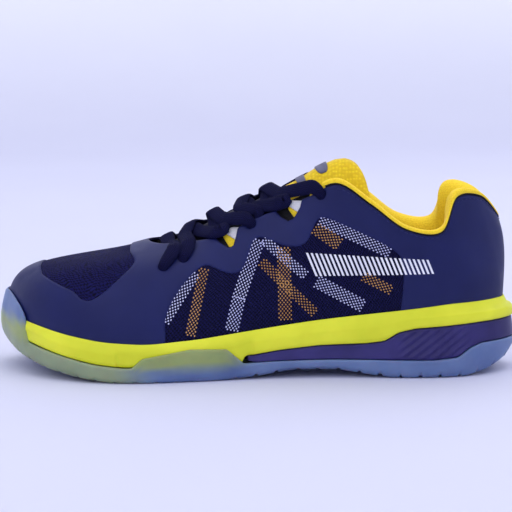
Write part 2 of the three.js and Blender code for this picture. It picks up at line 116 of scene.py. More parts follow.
STABILISER_FRONT = -5.0
TONGUE_RIDGE = [(-66, 64.4), (-45, 75), (-20, 88.2), (3, 98.4), (28, 111), (41, 118), (52, 122)]
EYELETS = [(-51.9, 62.5), (-40.6, 67), (-2.2, 85.4), (36.4, 102.6)]  # x, z of each row's holes
EYELET_RADIUS = 2.3
LOOP_X = [-20, 15]  # where the strands turn under the edge, over the notches


def metres(points):
    """Drawn millimetres, last axis x, y, z, as metres in the frame."""
    return np.asarray(points, float) * SCALE * MM


def smooth(low, high, x):
    t = np.clip((np.asarray(x, float) - low) / (high - low), 0, 1)
    return t * t * (3 - 2 * t)


def mix(a, b, t):
    return a + (b - a) * t


def height(profile, x, blur=2.0):
    """A side profile's z at x, with its corners rounded over blur millimetres."""
    xs, zs = np.array(profile, float).T
    steps = np.linspace(-blur, blur, 7)
    return np.mean([np.interp(np.asarray(x) + s, xs, zs) for s in steps], axis=0)


def sole_bottom(x):
    return height(SOLE_BOTTOM, x, 3)


def outsole_top(x):
    return height(OUTSOLE_TOP, x, 1.2)


def cup_floor(x):
    return height(CUP_FLOOR, x, 6)


def unit(vectors):
    return vectors / np.maximum(np.linalg.norm(vectors, axis=-1, keepdims=True), 1e-12)


def distance_along(points, least=0.0):
    """Distance from a line's first point to each of its points, every step counting as least or more."""
    steps = np.linalg.norm(np.diff(points, axis=0), axis=1)
    return np.concatenate([[0], np.cumsum(np.maximum(steps, least))])


def sample(at, run, values):
    """Rows of values, which stand at distances run, read off at other distances."""
    return np.stack([np.interp(at, run, column) for column in np.transpose(values)], axis=-1)


def corners_of(sides):
    """Cosine and sine of each corner of a regular polygon."""
    return [(math.cos(2 * math.pi * k / sides), math.sin(2 * math.pi * k / sides)) for k in range(sides)]


# ---------------------------------------------------------------- curves round the shoe
def closed_spline(knots, u):
    """Centripetal spline through closed knots; u runs from 0 to 1 once round."""
    knots = np.asarray(knots, float)
    count = len(knots)
    place = (np.asarray(u, float) % 1.0) * count
    index = np.floor(place).astype(int)
    w = (place - index)[:, None]
    p0, p1, p2, p3 = (knots[(index + k) % count] for k in (-1, 0, 1, 2))
    spans = ((p0, p1), (p1, p2), (p2, p3))
    d0, d1, d2 = (np.maximum(np.linalg.norm(b - a, axis=1) ** 0.5, 1e-4)[:, None] for a, b in spans)
    t1 = ((p1 - p0) / d0 - (p2 - p0) / (d0 + d1) + (p2 - p1) / d1) * d1
    t2 = ((p2 - p1) / d1 - (p3 - p1) / (d1 + d2) + (p3 - p2) / d2) * d1
    c2 = -3 * p1 + 3 * p2 - 2 * t1 - t2
    c3 = 2 * p1 - 2 * p2 + t1 + t2
    return p1 + t1 * w + c2 * w**2 + c3 * w**3


def side_knots(side, stations):
    """Outline x, y, rim x, y, z, spread and drop at each station of one side."""
    return [
        (x, lateral if side < 0 else medial, rim_x, side * rim_half, rim_z, spread, drop)
        for x, lateral, medial, rim_x, rim_half, rim_z, spread, drop in stations
    ]


LOOP = np.array(side_knots(-1, STATIONS) + side_knots(1, STATIONS[-2:0:-1]), float)


def outline(u):
    """Sole outline and its outward normal, both x and y, in mm."""
    knots = LOOP[:, :2]
    step = 2e-4
    tangent = closed_spline(knots, np.asarray(u) + step) - closed_spline(knots, np.asarray(u) - step)
    normal = unit(np.stack([tangent[:, 1], -tangent[:, 0]], axis=1))
    return closed_spline(knots, u), normal


def upper_inset(x):
    return 3.95 + 3.6 * smooth(80, 150, x)


def upper(u, v):
    """Outer surface of the upper, in mm: u round the shoe, v from the cup's floor to the rim."""
    u, v = np.broadcast_arrays(np.asarray(u, float), np.asarray(v, float))
    shape = u.shape
    u, v = u.ravel(), v.ravel()[:, None]
    foot2, out2 = outline(u)
    foot2 = foot2 - out2 * upper_inset(foot2[:, 0])[:, None]
    foot = np.column_stack([foot2, cup_floor(foot2[:, 0]) + 0.3])
    out = np.column_stack([out2, np.zeros(len(u))])
    rim = closed_spline(LOOP[:, 2:5], u)
    handle = closed_spline(LOOP[:, 5:7], u)
    toe = smooth(-60, -140, foot[:, 0])
    rise = mix(mix(30, 34, smooth(0, -60, foot[:, 0])), 52, toe)
    low = foot + 2 * out
    low[:, 2] += rise
    high = rim + out * handle[:, :1]
    high[:, 2] -= handle[:, 1]
    s = 1 - v
    points = s**3 * foot + 3 * s**2 * v * low + 3 * s * v**2 * high + v**3 * rim
    return points.reshape(shape + (3,))


def upper_normal(u, v):
    step = 1e-3
    at = np.minimum(v, 0.985)
    along = upper(u + step, at) - upper(u - step, at)
    up = upper(u, at + step) - upper(u, at - step)
    return unit(np.cross(along, up))


GRID_U, GRID_V = np.meshgrid(np.arange(AROUND) / AROUND, np.linspace(0.02, 1.0, RISE), indexing="ij")
GRID = upper(GRID_U, GRID_V)
GRID_N = upper_normal(GRID_U, GRID_V)


# ---------------------------------------------------------------- mesh helpers
def link(name, vertices, faces, smooth_faces=True):
    mesh = bpy.data.meshes.new(name)
    mesh.from_pydata([tuple(v) for v in np.asarray(vertices, float)], [], [tuple(f) for f in faces])
    mesh.validate()
    piece = bpy.data.objects.new(name, mesh)
    bpy.context.scene.collection.objects.link(piece)
    if smooth_faces:
        mesh.polygons.foreach_set("use_smooth", [True] * len(mesh.polygons))
    return piece


def set_map(piece, coordinates):
    """Writes a per-vertex map, in mm, as the UV layer that the weaves use."""
    layer = piece.data.uv_layers.new(name="weave")
    corner = np.zeros(len(piece.data.loops), int)
    piece.data.loops.foreach_get("vertex_index", corner)
    layer.data.foreach_set("uv", np.asarray(coordinates, float)[corner].ravel())


def set_tint(piece, values):
    """Writes a per-vertex share, from 0 to 1, that some materials colour by."""
    attribute = piece.data.attributes.new("tint", "FLOAT", "POINT")
    attribute.data.foreach_set("value", np.asarray(values, np.float32))


def finish_piece(piece, material, nodes=(), body="shoe"):
    piece.data.materials.clear()
    piece.data.materials.append(material)
    if nodes:
        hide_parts(*nodes)
    if body:
        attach(piece, body)


def grid_faces(rows, columns, wrap_rows=False, wrap_columns=False):
    last_row = rows if wrap_rows else rows - 1
    last_column = columns if wrap_columns else columns - 1
    i, j = np.meshgrid(np.arange(last_row), np.arange(last_column), indexing="ij")
    i, j = i.ravel(), j.ravel()
    i2, j2 = (i + 1) % rows, (j + 1) % columns
    return np.stack([i * columns + j, i2 * columns + j, i2 * columns + j2, i * columns + j2], axis=1)


def clip(field, faces, values):
    """Cuts triangles at field = 0. values is a list of per-vertex arrays, which are blended at the cut."""
    keep = field > 0
    count = keep[faces].sum(axis=1)
    whole = faces[count == 3]
    cut_faces = []
    added = {}
    extra = [[] for _ in values]

    def crossing(a, b):
        key = (a, b) if a < b else (b, a)
        if key not in added:
            t = field[key[0]] / (field[key[0]] - field[key[1]])
            for store, array in zip(extra, values):
                store.append(mix(array[key[0]], array[key[1]], t))
            added[key] = len(field) + len(added)
        return added[key]

    for face in faces[(count > 0) & (count < 3)]:
        ring = []
        for k in range(3):
            a, b = int(face[k]), int(face[(k + 1) % 3])
            if keep[a]:
                ring.append(a)
            if keep[a] != keep[b]:
                ring.append(crossing(a, b))
        cut_faces.extend((ring[0], ring[k], ring[k + 1]) for k in range(1, len(ring) - 1))
    all_faces = np.array(list(map(tuple, whole)) + cut_faces, int)
    merged = [np.concatenate([a, np.array(e)]) if e else a for a, e in zip(values, extra)]
    used, inverse = np.unique(all_faces, return_inverse=True)
    return inverse.reshape(-1, 3), [m[used] for m in merged]


def slab(name, faces, top, bottom):
    """A closed piece between two sheets with the same triangles."""
    count = len(top)
    edges = np.concatenate([faces[:, [0, 1]], faces[:, [1, 2]], faces[:, [2, 0]]])
    ordered = np.sort(edges, axis=1)
    _, first, seen = np.unique(ordered, axis=0, return_index=True, return_counts=True)
    border = edges[first[seen == 1]]
    walls = np.stack([border[:, 1], border[:, 0], border[:, 0] + count, border[:, 1] + count], axis=1)
    upper_side, lower_side = list(faces), [face[::-1] + count for face in faces]
    return link(name, np.concatenate([top, bottom]), upper_side + lower_side + list(walls))


def to_polygon(points, px, pz):
    """Signed distance in mm to a closed side-view outline: positive inside."""
    points = np.asarray(points, float)
    best = np.full(np.shape(px), FAR)
    inside = np.zeros(np.shape(px), bool)
    for (x0, z0), (x1, z1) in zip(points, np.roll(points, -1, axis=0)):
        ex, ez = x1 - x0, z1 - z0
        t = np.clip(((px - x0) * ex + (pz - z0) * ez) / max(ex * ex + ez * ez, TINY), 0, 1)
        best = np.minimum(best, np.hypot(px - x0 - t * ex, pz - z0 - t * ez))
        crosses = (z0 > pz) != (z1 > pz)
        with np.errstate(divide="ignore", invalid="ignore"):
            hit = px < (x1 - x0) * (pz - z0) / (z1 - z0) + x0
        inside ^= crosses & hit
    return np.where(inside, best, -best)


def rounded(points, times=2):
    """Cuts the corners of a closed outline, so that it turns in curves."""
    points = np.asarray(points, float)
    for _ in range(times):
        following = np.roll(points, -1, axis=0)
        points = np.stack([mix(points, following, 0.22), mix(points, following, 0.78)], axis=1).reshape(-1, 2)
    return points


def panel(name, field, depth, thickness, soft=0.7):
    """A closed panel of the upper where field, in mm, is positive. Its edges fall away over soft mm."""
    corners = grid_faces(AROUND, RISE, wrap_rows=True)
    faces = np.concatenate([corners[:, [0, 1, 2]], corners[:, [0, 2, 3]]])
    flat = field.ravel()
    reach = np.column_stack([GRID_U.ravel(), GRID_V.ravel()])
    faces, (points, normals, edge, places) = clip(
        flat, faces, [GRID.reshape(-1, 3), GRID_N.reshape(-1, 3), flat, reach]
    )
    roll = np.sqrt(np.clip(edge / soft, 0, 1))[:, None]
    top = points - normals * (depth + thickness * 0.75 * (1 - roll))
    bottom = points - normals * (depth + thickness)
    piece = slab(name, faces, metres(top), metres(bottom))
    # The map's seam lies at the toe's centre line.
    around = np.concatenate([places, places])
    set_map(piece, around * (WEAVE_AROUND, WEAVE_UP))
    return piece


def loft(name, rings):
    """A closed band round the shoe, through rings of points in mm that run the whole way round."""
    faces = grid_faces(len(rings[0]), len(rings), wrap_rows=True, wrap_columns=True)
    return link(name, metres(np.stack(rings, axis=1).reshape(-1, 3)), faces[:, ::-1])


def capped_loft(name, lines, flip=False):
    """A tube made of lengthwise lines of points in mm, closed at both ends. flip turns its faces over."""
    count, size = len(lines[0]), len(lines)
    faces = [tuple(face) for face in grid_faces(count, size, wrap_columns=True)]
    faces.append(tuple(reversed(range(size))))
    faces.append(tuple((count - 1) * size + k for k in range(size)))
    if flip:
        faces = [face[::-1] for face in faces]
    return link(name, metres(np.stack(lines, axis=1).reshape(-1, 3)), faces)


def add_prism(vertices, faces, rings, flip=False):
    """Adds one small closed prism to a mesh under way. rings run from its first end to its last."""
    base, count, sides = len(vertices), len(rings), len(rings[0])
    made = [tuple(face) for face in base + grid_faces(count, sides, wrap_columns=True)[:, ::-1]]
    made.append(tuple(base + k for k in reversed(range(sides))))
    made.append(tuple(base + (count - 1) * sides + k for k in range(sides)))
    vertices += [point for ring in rings for point in ring]
    faces += [face[::-1] for face in made] if flip else made


# ---------------------------------------------------------------- materials
def linear(red, green, blue):
    """sRGB bytes as the linear colour that shaders take."""
    parts = [c / 255 for c in (red, green, blue)]
    return tuple(c / 12.92 if c <= 0.04045 else ((c + 0.055) / 1.055) ** 2.4 for c in parts) + (1.0,)


class Shader:
    """A small helper that lays out one Principled material."""

    def __init__(self, name, roughness=0.6, **sockets):
        self.material = bpy.data.materials.new(name)
        self.material.use_nodes = True
        self.tree = self.material.node_tree
        self.surface = self.tree.nodes["Principled BSDF"]
        self.surface.inputs["Roughness"].default_value = roughness
        for key, value in sockets.items():
            self.surface.inputs[key.replace("_", " ")].default_value = value
        self.place = self.node("ShaderNodeTexCoord").outputs["Object"]
        self.height = None

    def node(self, kind, **settings):
        made = self.tree.nodes.new(kind)
        for key, value in settings.items():
            setattr(made, key, value)
        return made

    def join(self, output, socket):
        self.tree.links.new(output, socket)

    def math(self, operation, a, b=None):
        made = self.node("ShaderNodeMath", operation=operation)
        for index, value in enumerate((a, b)):
            if value is None:
                continue
            if isinstance(value, (int, float)):
                made.inputs[index].default_value = value
            else:
                self.join(value, made.inputs[index])
        return made.outputs[0]

    def noise(self, scale, detail=2.0):
        made = self.node("ShaderNodeTexNoise")
        made.inputs["Scale"].default_value = scale
        made.inputs["Detail"].default_value = detail
        self.join(self.place, made.inputs["Vector"])
        return made.outputs["Fac"]

    def tint(self):
        return self.node("ShaderNodeAttribute", attribute_name="tint").outputs["Fac"]

    def weave_axes(self):
        """The map's two coordinates, in mm."""
        split = self.node("ShaderNodeSeparateXYZ")
        self.join(self.node("ShaderNodeUVMap", uv_map="weave").outputs[0], split.inputs[0])
        return split.outputs[0], split.outputs[1]

    def wave(self, axis, pitch, shift=0.0):
        """A wave from 0 to 1 along one coordinate."""
        angle = self.math("ADD", self.math("MULTIPLY", axis, 2 * math.pi / pitch), shift)
        return self.math("ADD", self.math("MULTIPLY", self.math("SINE", angle), 0.5), 0.5)

    def ramp(self, factor, stops):
        made = self.node("ShaderNodeValToRGB")
        elements = made.color_ramp.elements
        elements[0].position, elements[0].color = stops[0]
        elements[1].position, elements[1].color = stops[-1]
        for position, colour in stops[1:-1]:
            elements.new(position).color = colour
        self.join(factor, made.inputs[0])
        return made.outputs[0]

    def blend_colours(self, factor, a, b):
        made = self.node("ShaderNodeMix", data_type="RGBA")
        for index, value in ((6, a), (7, b)):
            if isinstance(value, tuple):
                made.inputs[index].default_value = value
            else:
                self.join(value, made.inputs[index])
        self.join(factor, made.inputs[0])
        return made.outputs[2]

    def colour(self, output):
        if isinstance(output, tuple):
            self.surface.inputs["Base Color"].default_value = output
        else:
            self.join(output, self.surface.inputs["Base Color"])

    def bump(self, height_output, distance, strength=1.0):
        made = self.node("ShaderNodeBump")
        made.inputs["Distance"].default_value = distance
        made.inputs["Strength"].default_value = strength
        self.join(height_output, made.inputs["Height"])
        if self.height is not None:
            self.join(self.height, made.inputs["Normal"])
        self.height = made.outputs[0]
        self.join(self.height, self.surface.inputs["Normal"])

    def drift(self, cloud, dark, light, low=0.35):
        """A colour that drifts with a noise between two shades."""
        return self.ramp(cloud, [(low, dark), (1 - low, light)])

    def rough(self, factor, low, high):
        made = self.node("ShaderNodeMapRange")
        made.inputs["To Min"].default_value = low
        made.inputs["To Max"].default_value = high
        self.join(factor, made.inputs["Value"])
        self.join(made.outputs[0], self.surface.inputs["Roughness"])


def film_material():
    """Smooth coated film, with a fine grain and faint handling marks."""
    s = Shader("film", 0.45, Specular_IOR_Level=0.2)
    s.colour(s.drift(s.noise(28, 3), linear(19, 25, 76), linear(25, 32, 87), 0.3))
    s.rough(s.noise(160, 4), 0.36, 0.52)
    s.bump(s.noise(2600, 2), 0.00006, 0.5)
    s.bump(s.noise(90, 2), 0.0004, 0.25)
    return s.material


def knit_material(name, dark, light, across, along, lean=0.0, crumple=0.0):
    """Open knit: rows of stitches with dark holes between them."""
    s = Shader(name, 0.85, Specular_IOR_Level=0.12)
    x, y = s.weave_axes()
    if crumple:
        wander = s.math("MULTIPLY", s.math("SUBTRACT", s.noise(170, 2), 0.5), crumple)
        y = s.math("ADD", y, wander)
    if lean:
        x = s.math("ADD", x, s.math("MULTIPLY", y, lean))
    ribs = s.wave(x, across)
    stitches = s.wave(y, along)
    other = s.wave(y, along, math.pi)
    over = s.math("MULTIPLY", ribs, stitches)
    under = s.math("MULTIPLY", s.math("SUBTRACT", 1, ribs), other)
    thread = s.math("MAXIMUM", over, under)
    s.colour(s.ramp(thread, [(0.12, dark), (0.55, light)]))
    s.bump(thread, 0.0005, 0.9)
    return s.material


def lining_material(name, colour, shade, pitch, dark=None):
    """Soft spacer knit with a honeycomb of small dimples, and a dark part where the tint says so."""
    sheen = {"Sheen_Weight": 0.1, "Sheen_Roughness": 0.4}
    s = Shader(name, 0.85, Subsurface_Weight=0.08, Subsurface_Scale=0.002, **sheen)
    cells = s.node("ShaderNodeTexVoronoi", feature="SMOOTH_F1")
    cells.inputs["Scale"].default_value = 1000 / pitch
    cells.inputs["Randomness"].default_value = 0.35
    s.join(s.place, cells.inputs["Vector"])
    dimple = cells.outputs["Distance"]
    plain = s.ramp(dimple, [(0.0, shade), (0.5, colour)])
    if dark:
        plain = s.blend_colours(s.tint(), plain, dark)
    s.colour(plain)
    s.bump(dimple, 0.0004, 0.8)
    return s.material


def foam_material():
    """Moulded midsole foam, with a fine skin texture."""
    s = Shader("midsole_foam", 0.5, Specular_IOR_Level=0.4, Subsurface_Weight=0.12, Subsurface_Scale=0.003)
    s.colour(s.drift(s.noise(35, 3), linear(216, 220, 34), linear(231, 233, 48)))
    s.rough(s.noise(300, 3), 0.42, 0.58)
    s.bump(s.noise(1800, 3), 0.0001, 0.5)
    return s.material


def rubber_material():
    """Translucent rubber: blue by itself, greenish where the yellow foam lies behind it."""
    s = Shader("outsole_rubber", 0.36, Specular_IOR_Level=0.5, Subsurface_Weight=0.35, Subsurface_Scale=0.004)
    cloud = s.noise(45, 3)
    blue = s.drift(cloud, linear(78, 100, 150), linear(104, 126, 170), 0.3)
    green = s.drift(cloud, linear(134, 148, 92), linear(160, 172, 104), 0.3)
    s.colour(s.blend_colours(s.tint(), blue, green))
    s.rough(s.noise(240, 3), 0.3, 0.46)
    s.bump(s.noise(1500, 2), 0.00008, 0.5)
    return s.material


def plastic_material(name, dark, light, roughness):
    """Plain plastic, ink or thread, with a fine grain."""
    s = Shader(name, roughness, Specular_IOR_Level=0.25)
    s.colour(s.drift(s.noise(40, 3), dark, light))
    s.bump(s.noise(1600, 3), 0.0001, 0.5)
    return s.material


def lace_material():
    """Flat woven lace: a herringbone of fine threads."""
    s = Shader("lace", 0.85, Specular_IOR_Level=0.1)
    x, y = s.weave_axes()
    slant = s.math("ADD", x, s.math("MULTIPLY", s.math("ABSOLUTE", y), 0.8))
    threads = s.wave(slant, 0.9)
    cords = s.wave(y, 0.75)
    cloth = s.math("MULTIPLY", threads, s.math("ADD", s.math("MULTIPLY", cords, 0.6), 0.4))
    s.colour(s.ramp(cloth, [(0.05, linear(5, 5, 32)), (0.8, linear(22, 23, 72))]))
    s.bump(cloth, 0.0003, 0.9)
    return s.material


def cloth_material(name, dark, light, pitch=1.2):
    """Plain woven cloth or felt for the pieces inside the shoe."""
    s = Shader(name, 0.9)
    cells = s.node("ShaderNodeTexVoronoi")
    cells.inputs["Scale"].default_value = 1000 / pitch
    s.join(s.place, cells.inputs["Vector"])
    s.colour(s.ramp(cells.outputs["Distance"], [(0.1, dark), (0.6, light)]))
    s.bump(cells.outputs["Distance"], 0.0002, 0.6)
    return s.material


FILM = film_material()
KNIT = knit_material("quarter_knit", linear(3, 3, 20), linear(18, 18, 66), 1.5, 1.9)
VAMP_KNIT = knit_material("vamp_knit", linear(4, 3, 26), linear(21, 20, 76), 4.2, 2.0, 0.7, 7.0)
LINING = lining_material("lining", linear(247, 208, 30), linear(214, 168, 10), 1.3)
RIM_KNIT = lining_material("rim_knit", linear(252, 218, 40), linear(226, 184, 16), 0.9)
TONGUE_DARK = linear(12, 12, 40)
TONGUE_KNIT = lining_material("tongue_knit", linear(220, 184, 8), linear(250, 222, 26), 1.9, TONGUE_DARK)
WHITE_MESH = lining_material("white_mesh", linear(226, 222, 228), linear(240, 236, 240), 1.2)
EVA = foam_material()
RUBBER = rubber_material()
INDIGO = plastic_material("stabiliser", linear(38, 32, 88), linear(52, 46, 108), 0.4)
LACE = lace_material()
WHITE_INK = plastic_material("white_print", linear(226, 227, 238), linear(240, 240, 248), 0.5)
LILAC_INK = plastic_material("lilac_print", linear(178, 180, 226), linear(204, 206, 240), 0.5)
GOLD_INK = plastic_material("gold_print", linear(168, 118, 62), linear(198, 150, 92), 0.5)
DARK_TRIM = plastic_material("dark_trim", linear(4, 4, 10), linear(10, 10, 18), 0.7)
THREAD = plastic_material("thread", linear(24, 30, 78), linear(36, 42, 96), 0.7)
BADGE = plastic_material("badge", linear(84, 84, 112), linear(112, 112, 138), 0.4)
FELT = cloth_material("felt", linear(190, 188, 178), linear(222, 220, 212))
FOAM_PAD = cloth_material("pad_foam", linear(204, 202, 192), linear(232, 230, 222), 0.8)
SHANK = plastic_material("shank", linear(16, 16, 20), linear(30, 30, 36), 0.35)

# ---------------------------------------------------------------- camera, lights, floor
CAMERA_HEIGHT, CAMERA_DISTANCE, CAMERA_DIP, LENS = 0.205, 1.0, 8.0, 123.0


def add_camera():
    data = bpy.data.cameras.new("camera")
    data.lens = LENS
    data.sensor_width = 36
    camera = bpy.data.objects.new("camera", data)
    camera.location = (0, -CAMERA_DISTANCE, CAMERA_HEIGHT)
    camera.rotation_euler = (math.radians(90 - CAMERA_DIP), 0, 0)
    bpy.context.scene.collection.objects.link(camera)
    bpy.context.scene.camera = camera


def add_light(name, place, aim, size, power):
    data = bpy.data.lights.new(name, "AREA")
    data.shape = "RECTANGLE"
    data.size, data.size_y = size
    data.energy = power
    light = bpy.data.objects.new(name, data)
    light.location = place
    light.rotation_euler = (Vector(aim) - Vector(place)).to_track_quat("-Z", "Y").to_euler()
    bpy.context.scene.collection.objects.link(light)


def add_stage():
    """A pale sweep: floor, curve and back wall in one sheet on every side."""
    radius, bend, wall_height, steps, sides = 1.6, 1.6, 3.0, 20, 64
    bends = np.linspace(0, math.pi / 2, steps)
    profile = [(radius + bend * math.sin(a), bend * (1 - math.cos(a))) for a in bends]
    profile.append((radius + bend, wall_height))
    vertices = [(0, 0, 0)] + [(r * c, r * s, z) for r, z in profile for c, s in corners_of(sides)]
    faces = [(0, 1 + k, 1 + (k + 1) % sides) for k in range(sides)]
    faces += list(1 + grid_faces(len(profile), sides, wrap_columns=True))
    floor = link("floor", vertices, faces)
    s = Shader("floor_paper", 0.75)
    split = s.node("ShaderNodeSeparateXYZ")
    s.join(s.place, split.inputs[0])
    # Painted light: the sweep's colour runs from darker on the floor to lighter up the wall, with a faint
    # noise mottle. This tones down the brightly lit floor and stands in for light on the dimmer wall, so both
    # render as one even pale tone.
    far = s.math("ADD", split.outputs[2], s.math("MULTIPLY", s.noise(3, 2), 0.04))
    near, middle, wall = (0.63, 0.64, 0.82, 1), (0.86, 0.87, 0.98, 1), (0.95, 0.96, 1.0, 1)
    s.colour(s.ramp(far, [(0.0, near), (0.25, middle), (1.0, wall)]))
    floor.data.materials.append(s.material)


def add_world():
    world = bpy.data.worlds.new("studio")
    world.use_nodes = True
    background = world.node_tree.nodes["Background"]
    background.inputs[0].default_value = (0.93, 0.94, 1.0, 1)
    background.inputs[1].default_value = 1.12
    bpy.context.scene.world = world


add_camera()
add_stage()
add_world()
add_light("top_softbox", (0.1, 0.25, 1.5), (0, 0, 0), (1.6, 1.2), 5)
add_light("front_softbox", (-0.7, -1.3, 0.9), (0, 0, 0.05), (0.9, 0.7), 2.2)
add_light("back_softbox", (0.8, 1.1, 0.9), (0, 0, 0.05), (0.9, 0.7), 1.6)
bpy.context.scene.view_settings.view_transform = "Standard"

# ---------------------------------------------------------------- sole
SOLE_U = np.arange(960) / 960
SOLE_XY, SOLE_OUT = outline(SOLE_U)
SOLE_X = SOLE_XY[:, 0]


def ring_at(inset, z):
    """One ring of points, inset from the outline, at heights z."""
    flat = SOLE_XY - SOLE_OUT * np.broadcast_to(inset, SOLE_X.shape)[:, None]
    return np.column_stack([flat, np.broadcast_to(z, SOLE_X.shape)])


def underside(inset, lift):
    """One ring of points on the sole's underside, lift mm above it."""
    flat = SOLE_XY - SOLE_OUT * inset
    return np.column_stack([flat, sole_bottom(flat[:, 0]) + lift])


def sole_spine(toe, heel):
    """The line along the sole's middle that flat pieces close onto, from x toe to x heel."""
    y = np.interp(SOLE_X, [-150, -60, 20, 150], [12, 0, -2, 1.5])
    return np.column_stack([np.clip(SOLE_X, toe, heel), y])


def wall_top():
    """Height of the rubber's side wall: low, with a pad under the ball and a wrap over the toe."""
    pad, toe = height(BALL_PAD, SOLE_X, 0.8), height(TOE_WRAP, SOLE_X, 1.1)
    return np.maximum(outsole_top(SOLE_X), np.maximum(pad, toe))


def build_outsole():
    bottom, floor_line, top = sole_bottom(SOLE_X), outsole_top(SOLE_X), wall_top()
    lean = 2.6 * smooth(-118, -150, SOLE_X)  # the toe wrap follows the upper as it leans back
    notch_pitch, notch_share = 11.5, 0.16
    run = np.cumsum(np.linalg.norm(SOLE_XY - np.roll(SOLE_XY, 1, axis=0), axis=1))
    notch_depth = 1.1 * smooth(-30, 4, SOLE_X) + 0.5 * smooth(-20, -60, SOLE_X)
    notch = np.where((run / notch_pitch) % 1.0 < notch_share, notch_depth, 0.0)
    wall = 1.35
    swell = 0.9  # how far the wall's foot draws in under its widest line
    rise = top - bottom
    rings = [
        ring_at(14, floor_line - 0.6),
        ring_at(wall + 0.3, floor_line - 0.5),
        ring_at(wall + 0.15 + lean * smooth(20, 40, top), mix(floor_line, top, 0.55)),
        ring_at(wall + lean * 1.4, top - 0.5),
        ring_at(wall * 0.65 + lean * 1.5, top - 0.05),
        ring_at(wall * 0.3 + lean * 1.4, top - 0.25),
        ring_at(0.1 + lean * 1.25, top - 1.0),
        ring_at(lean * 0.9, bottom + rise * 0.8),
        ring_at(lean * 0.5, bottom + rise * 0.62),
        ring_at(0.05 + lean * 0.15, bottom + rise * 0.42),
        ring_at(0.35, bottom + rise * 0.22),
        ring_at(swell, bottom + 1.3 + notch),
        underside(swell + 1.0, 0.35 + notch),
        underside(swell + 2.2, 0.05 + notch),
        underside(6, notch),
        underside(12, notch),
        underside(15, 0.9),
    ]
    piece = loft("outsole", rings)
    x, z = np.array([(v.co.x, v.co.z) for v in piece.data.vertices]).T / MM
    line, bite = height(OUTSOLE_TOP, x), height(BITE_LINE, x)
    front = smooth(2, -20, x)
    foam = 1 - smooth(bite - 4, bite + 2, z)
    behind = smooth(line - 3.5, line + 1.5, z) * foam * front
    belly = smooth(-50, -82, x) * foam * 0.75
    set_tint(piece, np.clip(np.maximum(behind, belly), 0, 1))
    finish_piece(piece, RUBBER, ["outsole"])


def build_tread_lugs():
    """Hexagon lugs under the ball and the heel."""
    pitch, lug, edge, arch = 9.0, 3.7, 7.5, (6, 62)
    outline_points = SOLE_XY[::8]
    vertices, faces = [], []
    for row in range(-14, 15):
        for column in range(-22, 23):
            x = column * pitch * 0.866
            y = row * pitch * 0.75 + (pitch * 0.375 if column % 2 else 0)
            near = np.min(np.hypot(SOLE_X - x, SOLE_XY[:, 1] - y))
            inside = to_polygon(outline_points, np.array(x), np.array(y)) > 0
            if not inside or near < edge or arch[0] < x < arch[1]:
                continue
            low = float(sole_bottom(x))
            levels = ((low + 1.6, lug), (low + 0.4, lug), (low, lug - 0.5))
            rings = [[(x + radius * c, y + radius * s, z) for c, s in corners_of(6)] for z, radius in levels]
            add_prism(vertices, faces, rings, flip=True)
    lugs = link("tread_lugs", metres(vertices), faces, smooth_faces=False)
    set_tint(lugs, np.zeros(len(vertices)))
    finish_piece(lugs, RUBBER)


def build_tread_plate():
    """The plate that closes the rubber ring, over the lugs."""
    spine, outer = sole_spine(-104, 122), SOLE_XY - SOLE_OUT * 13
    rings = []
    for lift, shares in ((1.2, np.linspace(1, 0, 8)), (3.2, np.linspace(0, 1, 8))):
        for share in shares:
            flat = mix(spine, outer, share)
            rings.append(np.column_stack([flat, sole_bottom(flat[:, 0]) + lift]))
    plate = loft("tread_plate", rings)
    set_tint(plate, np.zeros(len(plate.data.vertices)))
    finish_piece(plate, RUBBER)


def build_midsole():
    low_front = outsole_top(SOLE_X) + 0.15
    low_back = height(STABILISER_TOP, SOLE_X, 1.6) + 0.15
    low = np.where(SOLE_X > STABILISER_FRONT - 1.5, np.maximum(low_back, low_front), low_front)
    low = mix(low_front, low, smooth(STABILISER_FRONT - 3.5, STABILISER_FRONT + 0.5, SOLE_X))
    bite = height(BITE_LINE, SOLE_X, 6)
    inset = upper_inset(SOLE_X)
    toe = smooth(-112, -132, SOLE_X)
    foot = mix(0.9, 1.75, np.maximum(toe, np.where((SOLE_X > -78) & (SOLE_X < -2), 0.85, 0.0)))
    lip = inset - 1.15
    rise = bite - low
    lean = mix(lip * 0.45, lip * 0.8, smooth(90, 150, SOLE_X))
    rings = [
        ring_at(16, low + 0.6),
        ring_at(foot + 2.5, low + 0.05),
        ring_at(foot + 0.7, low + 0.1),
        ring_at(foot + 0.15, low + 0.6),
        ring_at(foot, low + rise * 0.2),
        ring_at(mix(foot, lean, 0.2), low + rise * 0.46),
        ring_at(mix(foot, lean, 0.34), low + rise * 0.54),
        ring_at(mix(foot, lean, 0.9), low + rise * 0.6),
        ring_at(mix(lean, lip, 0.35), low + rise * 0.8),
        ring_at(lip - 0.1, bite - 0.7),
        ring_at(lip + 0.25, bite - 0.1),
        ring_at(lip + 0.8, bite - 0.15),
        ring_at(inset - 0.1, bite - 1.4),
        ring_at(inset, cup_floor(SOLE_X)),
        ring_at(inset + 9, cup_floor(SOLE_X)),
    ]
    piece = loft("midsole", rings)
    finish_piece(piece, EVA, ["midsole"])


